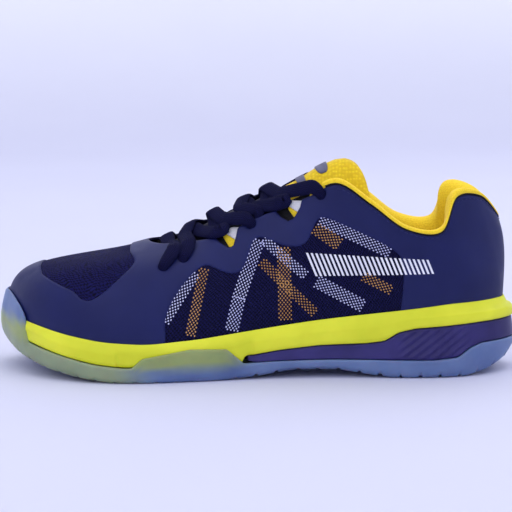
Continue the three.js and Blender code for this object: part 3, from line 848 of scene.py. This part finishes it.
def build_stabiliser():
    inside = np.nonzero(SOLE_X > STABILISER_FRONT)[0]
    xy, out, x = SOLE_XY[inside], SOLE_OUT[inside], SOLE_X[inside]
    low = outsole_top(x) + 0.15
    high = height(STABILISER_TOP, x, 1.6) - 0.15
    front = smooth(STABILISER_FRONT, STABILISER_FRONT + 6, x)
    low = mix(high - 2.4, low, front)
    levels = np.concatenate([[0.0, 0.02], np.linspace(0.07, 0.93, 16), [0.98, 1.0]])
    lines = []
    for level in levels:
        z = mix(low, high, level)
        slant = (x - 1.35 * (z - 10)) / 6.4
        ribs = np.clip(np.sin(2 * math.pi * slant) * 1.8, -1, 1) * 0.6
        zone = smooth(78, 86, x) * smooth(124, 116, x) * smooth(0, 0.12, level) * smooth(1, 0.88, level)
        edge = 0.9 * (1 - min(1.0, min(level, 1 - level) / 0.07)) ** 2
        waist = 0.5 + 1.2 * level + 0.5 * smooth(130, 150, x) * level - ribs * zone + edge
        lines.append(np.column_stack([xy - out * waist[:, None], z]))
    for inset, level in ((9, 0.97), (9, 0.03)):
        lines.append(np.column_stack([xy - out * inset, mix(low, high, level)]))
    piece = capped_loft("heel_stabiliser", lines, flip=True)
    finish_piece(piece, INDIGO, ["heel_stabiliser"])


build_outsole()
build_tread_lugs()
build_tread_plate()
build_midsole()
build_stabiliser()

# ---------------------------------------------------------------- upper
SIDE_X, SIDE_Z = GRID[..., 0], GRID[..., 2]
NOTCHES = [
    [(-27, 90), (-24, 79), (-21.5, 76), (-13.5, 71.5), (-10.5, 82), (-9, 100)],
    [(5, 112), (10.5, 96), (12, 91), (19.6, 86.8), (26, 98), (27, 120)],
]
WINDOW = [
    (-132, 100), (-125, 58), (-116, 54.5), (-109, 52), (-101.5, 49.6), (-97.5, 45.6), (-92.5, 44.8),
    (-86, 48.6), (-77, 56.5), (-68, 64.8), (-68.5, 68), (-73, 71), (-76, 100),
]
FILM_OUTLINE = [
    (-170, -5), (-49.5, -5), (-50, 24), (-50.5, 36), (-44, 49), (-35, 60), (-28, 64.5), (-22, 61.6),
    (-14, 58.8), (-7.5, 60.5), (-4, 69), (-0.5, 79.5), (8, 77.2), (16, 74), (24, 73.6), (29.5, 77),
    (32, 85), (36, 91.5), (56, 83), (76, 73.4), (81.5, 68), (83, 55), (79, 20), (170, 20), (170, 150),
    (-170, 150),
]


def eyelet_place(row, side, ahead=0.0):
    """Column and row of the grid at an eyelet, or ahead mm behind it, on one side."""
    x, z = EYELETS[row]
    away = np.hypot(SIDE_X - x - ahead, SIDE_Z - z - ahead * 0.45)
    away = np.where(GRID[..., 1] * side > 3, away, FAR)
    return np.unravel_index(np.argmin(away), away.shape)


def nearest_column(x, side, row=-1, clear=0.0):
    """The grid's column nearest to x in one row, on one side, more than clear mm off the centre line."""
    this_side = GRID[:, row, 1] * side > clear
    return np.argmin(np.where(this_side, np.abs(GRID[:, row, 0] - x), FAR))


def edge_place(x, side):
    """Column and row of the grid at the upper's edge over a notch."""
    row = int(0.985 * (RISE - 1))
    return nearest_column(x, side, row, 2), row


def rim_range(x, steps=400):
    """Round the heel from x on the lateral rim to x on the medial rim."""
    return np.linspace(nearest_column(x, -1) / AROUND, nearest_column(x, 1) / AROUND, steps)


def overlap(*fields):
    """Signed distance to what lies inside every one of the fields."""
    return np.minimum.reduce(fields)


def outside(points, times=1):
    """Signed distance in mm to a rounded side-view outline: positive outside."""
    return -to_polygon(rounded(points, times), SIDE_X, SIDE_Z)


def below(level):
    """Distance in mm, roughly, below a share of the upper's height."""
    return (level - GRID_V) * UPPER_TALL


def notch_field(raised=0.0):
    """Distance in mm from the notches, which can stand higher."""
    return overlap(*(outside(np.add(points, (0, raised))) for points in NOTCHES))


def eyelet_field():
    places = [eyelet_place(row, side) for side in (-1, 1) for row in range(len(EYELETS))]
    return overlap(*(np.linalg.norm(GRID - GRID[place], axis=2) - EYELET_RADIUS for place in places))


SHARED = overlap(below(LIP), notch_field(), eyelet_field())


def build_upper():
    film = overlap(-outside(FILM_OUTLINE, 2), outside(WINDOW, 2), SHARED)
    nodes = ["toe_overlay", "eyestay_overlay_lateral", "eyestay_overlay_medial", "heel_overlay"]
    finish_piece(panel("film_overlay", film, 0.0, 0.6, 0.9), FILM, nodes)

    ahead = -(SIDE_X + 53)  # of the seam between vamp and quarters
    vamp = panel("vamp_mesh", overlap(ahead - 0.15, SHARED), 0.75, 0.8)
    finish_piece(vamp, VAMP_KNIT, ["vamp_mesh"])
    middle = GRID[..., 1] - 1.5
    for name, side in (("quarter_mesh_lateral", -1), ("quarter_mesh_medial", 1)):
        field = overlap(-ahead - 0.15, side * middle - 0.1, SHARED)
        finish_piece(panel(name, field, 0.6, 0.9), KNIT, [name])

    inner = overlap(below(0.93), 41 - SIDE_X)
    finish_piece(panel("vamp_lining", inner, 4.6, 0.7), LINING, ["vamp_lining"])


def build_backing():
    """The dark tape behind the eyestays, which shows as an edge in the notches."""
    for name, side in (("eyestay_backing_lateral", -1), ("eyestay_backing_medial", 1)):
        reach = overlap(38 - SIDE_X, SIDE_X + 58, side * GRID[..., 1] - 3)
        field = overlap(reach, -below(0.62), below(LIP), notch_field(1.2))
        finish_piece(panel(name, field, 2.0, 1.0), DARK_TRIM, [name])


THROAT_TRIM = [[(-30, 66), (-7, 66), (-7, 90), (-30, 90)], [(6, 82), (29, 82), (29, 106), (6, 106)]]
THROAT_LINING = [
    [(-21.5, 82.3), (-18, 81.5), (-10.8, 77.3), (-12.8, 70.4)],
    [(15.5, 97), (18.6, 96), (24.6, 92.3), (23, 87.2)],
    [(-28, 76), (-19.4, 73.4), (-19.8, 70.5), (-28, 70)],
    [(9, 92), (18.4, 88.9), (18.3, 85), (9, 86)],
]
THROAT_MESH = [
    [(-22.5, 84.5), (-7, 84.5), (-9.5, 76.5), (-18.2, 81.2)],
    [(14, 99.5), (28, 99.5), (25, 91.8), (18.3, 95.9)],
]


def build_throat(name, shapes, depth, material):
    """One thin layer of what shows through the eyestay's notches, depth mm below the film."""
    field = np.maximum.reduce([to_polygon(points, SIDE_X, SIDE_Z) for points in shapes])
    finish_piece(panel(name, overlap(field, below(0.995)), depth, 0.45, 0.3), material)


def build_collar():
    """Rolled rim, padded inner wall and lining of the collar, as one knitted piece."""
    columns = np.arange(nearest_column(37, -1), nearest_column(37, 1) + 1)
    u = columns / AROUND
    x = GRID[columns, -1, 0]
    padding = mix(0.28, 1.0, smooth(40, 62, x))
    profile = [  # share of the upper's height, and depth in mm
        (0.944, 0.75), (0.952, 0.25), (0.962, -0.35), (0.975, -0.7), (0.988, -0.6), (0.998, 0.2), (1.0, 1.6),
        (0.998, 3.4), (0.99, 5.4), (0.97, 7.4), (0.93, 9.2), (0.87, 10.3), (0.8, 10.5), (0.73, 9.9),
        (0.66, 8.6), (0.6, 7.2), (0.54, 6.0), (0.46, 5.2), (0.34, 4.9), (0.2, 4.8), (0.06, 4.7),
        (0.06, 4.1), (0.3, 4.1), (0.5, 4.1), (0.6, 3.6), (0.8, 3.2), (0.93, 3.0), (0.944, 2.2),
    ]
    lines = []
    for level, depth in profile:
        deep = np.where(depth > 2.5, mix(2.6, depth, padding), depth)
        lines.append(upper(u, level) - upper_normal(u, level) * deep[:, None])
    piece = capped_loft("collar_lining", lines)
    finish_piece(piece, RIM_KNIT, ["collar_lining", "collar_foam"])


def build_rim_cord():
    """The dark cord that edges the outer layers under the collar's roll."""
    u = rim_range(39, 420)
    level = LIP + 0.006
    centre, normal = upper(u, level), upper_normal(u, level)
    along = unit(np.gradient(centre, axis=0))
    across = np.cross(normal, along)
    radius, sunk = 0.75, 0.35
    lines = [centre + (across * c + normal * (s - sunk)) * radius for c, s in corners_of(8)]
    finish_piece(capped_loft("rim_cord", lines), DARK_TRIM)


def build_collar_stitches():
    """A row of raised stitches on the film, below the collar's rim."""
    spacing, length, radius = 3.0, 1.9, 0.22
    u = rim_range(44)
    level = LIP - 0.03
    points, normals = upper(u, level), upper_normal(u, level)
    run = distance_along(points)
    vertices, faces = [], []
    for begin in np.arange(1, run[-1] - length, spacing):
        at = np.linspace(begin, begin + length, 4)
        centres, outwards = sample(at, run, points), sample(at, run, normals)
        along = unit(centres[-1] - centres[0])
        rings = []
        for centre, outward, lift in zip(centres, outwards, (-0.12, 0.12, 0.12, -0.12)):
            side = np.cross(along, outward) * radius
            rings.append([centre + side * c + outward * (s * radius + lift) for c, s in corners_of(6)])
        add_prism(vertices, faces, rings)
    finish_piece(link("collar_stitches", metres(vertices), faces), THREAD)


build_upper()
build_backing()
build_throat("throat_trim", THROAT_TRIM, 3.4, DARK_TRIM)
build_throat("throat_lining", THROAT_LINING, 2.7, RIM_KNIT)
build_throat("throat_mesh", THROAT_MESH, 2.2, WHITE_MESH)
build_collar()
build_rim_cord()
build_collar_stitches()

# ---------------------------------------------------------------- printed graphics
OUTER_FACES = grid_faces(AROUND, RISE, wrap_rows=True)
OUTER = BVHTree.FromPolygons([tuple(p) for p in GRID.reshape(-1, 3)], [tuple(f) for f in OUTER_FACES])
DOT_PITCH, DOT_RADIUS = 1.95, 0.43
ROW_STEP = DOT_PITCH * 0.62

# Both ends, as x and z, and the width of every dotted band.
LILAC_BANDS = [
    ((-50, 34), (-33, 60), 4.6),
    ((-13, 28), (-9, 46), 6),
    ((-9, 46), (2, 78), 6),
    ((4, 77), (28, 57), 5),
    ((36, 89), (75, 71), 6),
    ((34, 54), (60, 40), 6),
]
GOLD_BANDS = [
    ((-36, 26), (-28.5, 62), 5.2),
    ((15, 73), (16, 33), 6),
    ((3, 65), (33, 36), 4.2),
    ((33, 84), (46, 75), 6),
    ((60, 57), (76, 49), 5),
]


def on_side(x, z, side):
    """Point and outward normal of the upper's side at x, z, in mm."""
    hit, normal, _, _ = OUTER.ray_cast(Vector((x, side * 200, z)), Vector((0, -side, 0)))
    if hit is None:
        return None
    normal = np.array(normal)
    if normal[1] * side < 0:
        normal = -normal
    return np.array(hit), normal


def dotted_band(start, end, width):
    """Point, normal and lengthwise direction of each dot between two points, in a honeycomb."""
    (x0, z0), (x1, z1) = start, end
    length = math.hypot(x1 - x0, z1 - z0)
    ax, az = (x1 - x0) / length, (z1 - z0) / length
    lanes = int(width / DOT_PITCH)
    dots = []
    for side in (-1, 1):
        for row in range(int(length / ROW_STEP) + 1):
            for lane in range(lanes + 1):
                along = row * ROW_STEP
                across = (lane - lanes / 2 + (0.5 if row % 2 else 0)) * DOT_PITCH
                x = x0 + ax * along - az * across
                z = z0 + az * along + ax * across
                found = on_side(x, z, side)
                if found and z > height(BITE_LINE, x) + 0.6:
                    dots.append((*found, np.array([ax, 0, az])))
    return dots


def build_dots(name, bands, material):
    """Small raised hexagons, one mesh for all the bands of one ink."""
    vertices, faces = [], []
    levels = ((-0.75, DOT_RADIUS), (-0.28, DOT_RADIUS), (-0.22, DOT_RADIUS * 0.8))
    for band in bands:
        for point, normal, along in dotted_band(*band):
            across = unit(np.cross(normal, along))
            flat = np.cross(across, normal) * 1.25
            rings = []
            for lift, radius in levels:
                centre = point + normal * lift
                rings.append([centre + (flat * c + across * s) * radius for c, s in corners_of(6)])
            add_prism(vertices, faces, rings)
    finish_piece(link(name, metres(vertices), faces, smooth_faces=False), material)


def build_hatching():
    """A generic block on each side: slanted bars between two straight, slightly tapering edges."""
    vertices, faces = [], []
    bars, pitch, thickness, steps = 27, 2.5, 1.25, 6
    corners = ((-0.5, -0.8), (0.5, -0.8), (0.5, 0.06), (-0.5, 0.06))  # share of thickness, lift
    for side in (-1, 1):
        for bar in range(bars):
            share = bar / (bars - 1)
            tall = 13 - 5 * share
            rings = []
            for t in np.linspace(0, 1, steps + 1):
                x = 34 + bar * pitch - 0.42 * tall * t
                z = 57.5 + 1.5 * share + tall * t
                ring = []
                for edge, lift in corners:
                    point, outward = on_side(x + edge * thickness, z, side)
                    ring.append(point + outward * lift)
                rings.append(ring)
            add_prism(vertices, faces, rings, flip=True)
    finish_piece(link("hatched_print", metres(vertices), faces, smooth_faces=False), WHITE_INK)


build_dots("lilac_dots", LILAC_BANDS, LILAC_INK)
build_dots("gold_dots", GOLD_BANDS, GOLD_INK)
build_hatching()

# ---------------------------------------------------------------- tongue
RIDGE = np.array(TONGUE_RIDGE, float)
RIDGE_RUN = distance_along(RIDGE)


def ridge(s):
    """Point, direction and downward normal of the tongue's ridge at share s, in mm."""
    length = RIDGE_RUN[-1]
    at = np.asarray(s, float) * length

    def place(distance):
        reach = np.minimum(7, np.minimum(distance, length - distance))
        spread = distance[..., None] + reach[..., None] * np.linspace(-1, 1, 9)
        return sample(spread, RIDGE_RUN, RIDGE).mean(-2)

    along = unit(place(np.minimum(at + 2, length)) - place(np.maximum(at - 2, 0)))
    return place(at), along, np.stack([along[..., 1], -along[..., 0]], axis=-1)


def tongue_point(s, y, depth, reach=0.0):
    """Point of the tongue at share s of its ridge. reach, in mm, carries it on past the ridge's end."""
    point, ahead, down = ridge(s)
    droop = mix(0.05, 0.075, smooth(0.7, 1, s))
    slope = 2 * droop * y
    size = np.sqrt(1 + slope**2)
    fall = droop * y**2 + depth / size
    point = point + ahead * np.asarray(reach)[..., None] + down * np.asarray(fall)[..., None]
    return np.stack([point[..., 0], y - depth * slope / size, point[..., 1]], axis=-1)


def tongue_half(s):
    throat = mix(15, 16.5, smooth(0, 0.3, s))
    return mix(throat, 20, smooth(0.7, 0.95, s))


def build_tongue():
    """One padded tongue with a thick knitted top."""
    count, across_steps = 96, 44
    s = 1 - (1 - np.linspace(0, 1, count)) ** 1.6
    end = np.clip((1 - s) / 0.035, 0, 1)
    rounding = np.sqrt(1 - (1 - end) ** 2)
    thick = mix(1.9, 4.3, smooth(0.76, 0.9, s)) * np.maximum(rounding, 0.02)
    corner = 1 - 0.1 * (1 - np.sqrt(np.clip((1 - s) / 0.16, 0, 1)))
    reach = 5.4 * smooth(0.86, 1, s)
    middle = mix(2.0, 3.4, smooth(0.8, 0.92, s))
    lines, dark = [], []
    for c, d in corners_of(across_steps * 2):
        wide = math.copysign(abs(c) ** 0.6, c)
        deep = math.copysign(abs(d) ** 0.8, d)
        bulge = 1 - (1.25 * abs(wide) - 0.9) ** 2 * 2
        wing = smooth(0.9, 0.95, abs(wide)) * smooth(0.97, 0.94, s)
        dark.append(np.maximum(smooth(0.665, 0.645, s), wing))
        lines.append(tongue_point(s, wide * tongue_half(s) * corner, middle - deep * thick, reach * bulge))
    piece = capped_loft("tongue", lines)
    set_tint(piece, np.stack(dark, axis=1).ravel())
    finish_piece(piece, TONGUE_KNIT, ["tongue", "tongue_top", "tongue_lining"], body=None)
    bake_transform(piece)


def tongue_patch(name, centre, half_along, half_across, lift, power, body):
    """A thin rounded patch on the tongue: a superellipse with a soft edge."""
    sides = 48
    profile = ((0.0, 0), (0.5, 0), (0.85, 0), (0.96, 0.12), (1.0, 0.5), (1.0, 1.0), (0.5, 1.0), (0.0, 1.0))
    rings = []
    for share, drop in profile:
        ring = []
        for c, d in corners_of(sides):
            radius = (abs(c) ** power + abs(d) ** power) ** (-1 / power) * share
            along, across = centre + half_along * radius * c, half_across * radius * d
            ring.append(tongue_point(along, across, drop - 1 - lift))
        rings.append(ring)
    faces = grid_faces(len(rings), sides, wrap_columns=True)
    piece = link(name, metres(np.array(rings).reshape(-1, 3)), faces)
    finish_piece(piece, BADGE, [name], body)


build_tongue()
tongue_patch("tongue_badge", 0.88, 0.028, 7.5, 0.9, 3.0, "tongue_flap")
tongue_patch("lace_keeper", 0.775, 0.02, 8.0, 0.3, 5.0, "shoe")

# ---------------------------------------------------------------- laces
LACE_WIDTH, LACE_THICKNESS, LACE_STEP = 8.8, 2.6, 0.9

# How a strand passes the first two eyelets: row, depth below the film, width share, rise up the film.
THROUGH_FIRST_ROWS = [
    (0, -2.4, 0.95, 0.22), (0, -2.0, 0.95, 0.12), (0, -1.4, 0.75, 0.02), (0, 3.2, 0.5, -0.02),
    (1, 3.2, 0.5, -0.03), (1, -1.4, 0.75, 0.02), (1, -1.9, 0.95, 0.09), (1, -2.2, 0.95, 0.18),
]
# The end tucked inside the collar narrows into its aglet: x, y, z and width share.
TUCKED_END = [(45, 21, 104, 0.6), (50, 21.8, 96, 0.6), (52.3, 21.5, 85, 0.5), (53.3, 21.5, 78, 0.34)]


def lace_on_tongue(share, y, lift):
    """Point, outward normal and full width of the lace, lift mm over the tongue."""
    here = tongue_point(share, y, -lift)
    return here, tongue_point(share, y, -lift - 1) - here, 1.0


def lace_points(side):
    """Centreline, outward normal and width share of one strand, from the first row to the collar."""
    points = []

    def on_upper(place, depth, share, rise=0.0):
        column, level = place
        level = int(np.clip(level + rise * (RISE - 1), 0, RISE - 1))
        normal = GRID_N[column, level]
        points.append((GRID[column, level] - normal * depth, normal, share))

    def over_tongue(x, y, lift):
        share = np.interp(x, RIDGE[:, 0], np.linspace(0, 1, len(RIDGE)))
        points.append(lace_on_tongue(share, y, lift))

    lift = 3.4 if side < 0 else 1.2
    for row, depth, share, rise in THROUGH_FIRST_ROWS:
        on_upper(eyelet_place(row, side), depth, share, rise)
    for row, loop in enumerate(LOOP_X):
        start, end = EYELETS[row + 1][0], EYELETS[row + 2][0]
        over_tongue(start + 3, side * 7, lift + 0.6)
        over_tongue((start + loop) / 2 - 1, 0, lift + 1.2)
        over_tongue(loop - 7, -side * 8, lift + 0.4)
        for ahead, depth, share in ((-3, -1.6, 0.95), (0, 0.4, 0.8), (3, -1.2, 0.95)):
            on_upper(edge_place(loop + ahead, -side), depth, share)
        over_tongue(loop + 3, -side * 9, lift + 0.2)
        over_tongue((end + loop) / 2 - 4, 0, lift + 1.8)
        over_tongue(end - 9, side * 9, lift + 0.4)
        on_upper(eyelet_place(row + 2, side, -4), -1.8, 0.95, 0.09)
        on_upper(eyelet_place(row + 2, side, -0.5), -1.5, 0.75, 0.02)
        if row == 0:
            on_upper(eyelet_place(row + 2, side), 3.0, 0.5, -0.02)
            on_upper(eyelet_place(row + 2, side, 2.5), 3.2, 0.5, 0.02)
            on_upper(eyelet_place(row + 2, side, 4), 0.6, 0.8, 0.12)
    on_upper(eyelet_place(3, side), 3.0, 0.5, -0.02)
    on_upper(eyelet_place(3, side, 3), 5.5, 0.6, 0.04)
    for x, y, z, share in TUCKED_END:
        points.append((np.array([x, side * y, z], float), np.array([0.2, side, 0.2]), share))
    return points


def build_lace():
    bar = [lace_on_tongue(0.14, y, 4.6) for y in (-8, 0, 8)]
    centre, normal, share = map(np.array, zip(*lace_points(-1)[::-1], *bar, *lace_points(1)))
    run = distance_along(centre, least=0.5)
    fine = np.linspace(0, run[-1], int(run[-1] / LACE_STEP))

    def even(values, width):
        """Values at even steps along the lace, each averaged over its neighbours."""
        weights = np.hanning(width + 2)[1:-1]
        weights /= weights.sum()
        ends = ((width // 2, width // 2), (0, 0))
        padded = np.pad(sample(fine, run, values), ends, mode="edge")
        return np.stack([np.convolve(column, weights, "valid") for column in padded.T], axis=1)

    path = even(centre, 7)
    up = unit(even(unit(normal), 9))
    wide = even(share[:, None], 7)[:, 0]
    along = unit(np.gradient(path, axis=0))
    across = unit(np.cross(along, up))
    up = np.cross(across, along)
    sides = 14
    deep = LACE_THICKNESS / 2 / np.maximum(wide, 0.6)
    lines = []
    for c, s in corners_of(sides):
        half = math.copysign(abs(c) ** 0.7, c) * LACE_WIDTH / 2 * wide
        lines.append(path + across * half[:, None] + up * (s * deep)[:, None])
    piece = capped_loft("lace", lines)
    lanes = [c * LACE_WIDTH / 2 for c, s in corners_of(sides)]
    lengths = np.repeat(np.arange(len(path)) * LACE_STEP, sides)
    set_map(piece, np.column_stack([lengths, np.tile(lanes, len(path))]))
    finish_piece(piece, LACE, ["lace"])


build_lace()

# ---------------------------------------------------------------- insole and inner parts
def build_sockliner():
    """Moulded insole: a dished foam sheet with a raised rim."""
    clearance, bed = 7.6, 2.2  # from the upper's wall, and above the cup's floor
    spine = sole_spine(-100, 118)
    outer = SOLE_XY - SOLE_OUT * (upper_inset(SOLE_X) + clearance)[:, None]
    under = [(share, 0.0) for share in np.linspace(0, 0.98, 12)]
    rim = [(1.0, 0.5), (1.0, 3.4), (0.985, 3.9)]
    over = [(share, 3.1 + 0.8 * share**3) for share in np.linspace(0.95, 0, 14)]
    rings = []
    for share, lift in under + rim + over:
        flat = mix(spine, outer, share)
        rings.append(np.column_stack([flat, cup_floor(flat[:, 0]) + bed + lift]))
    piece = loft("sockliner", rings)
    finish_piece(piece, LINING, ["sockliner"], body="insole")


build_sockliner()

HIDDEN_FINISHES = {
    "shank_plate": SHANK,
    "heel_cushion_insert": FOAM_PAD,
    "forefoot_cushion_insert": FOAM_PAD,
    "strobel_board": FELT,
    "toe_puff": FELT,
    "heel_counter": FELT,
    "aglet_left": BADGE,
    "aglet_right": BADGE,
}
for node_name, finish_material in HIDDEN_FINISHES.items():
    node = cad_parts[node_name]
    node.data.materials.clear()
    node.data.materials.append(finish_material)
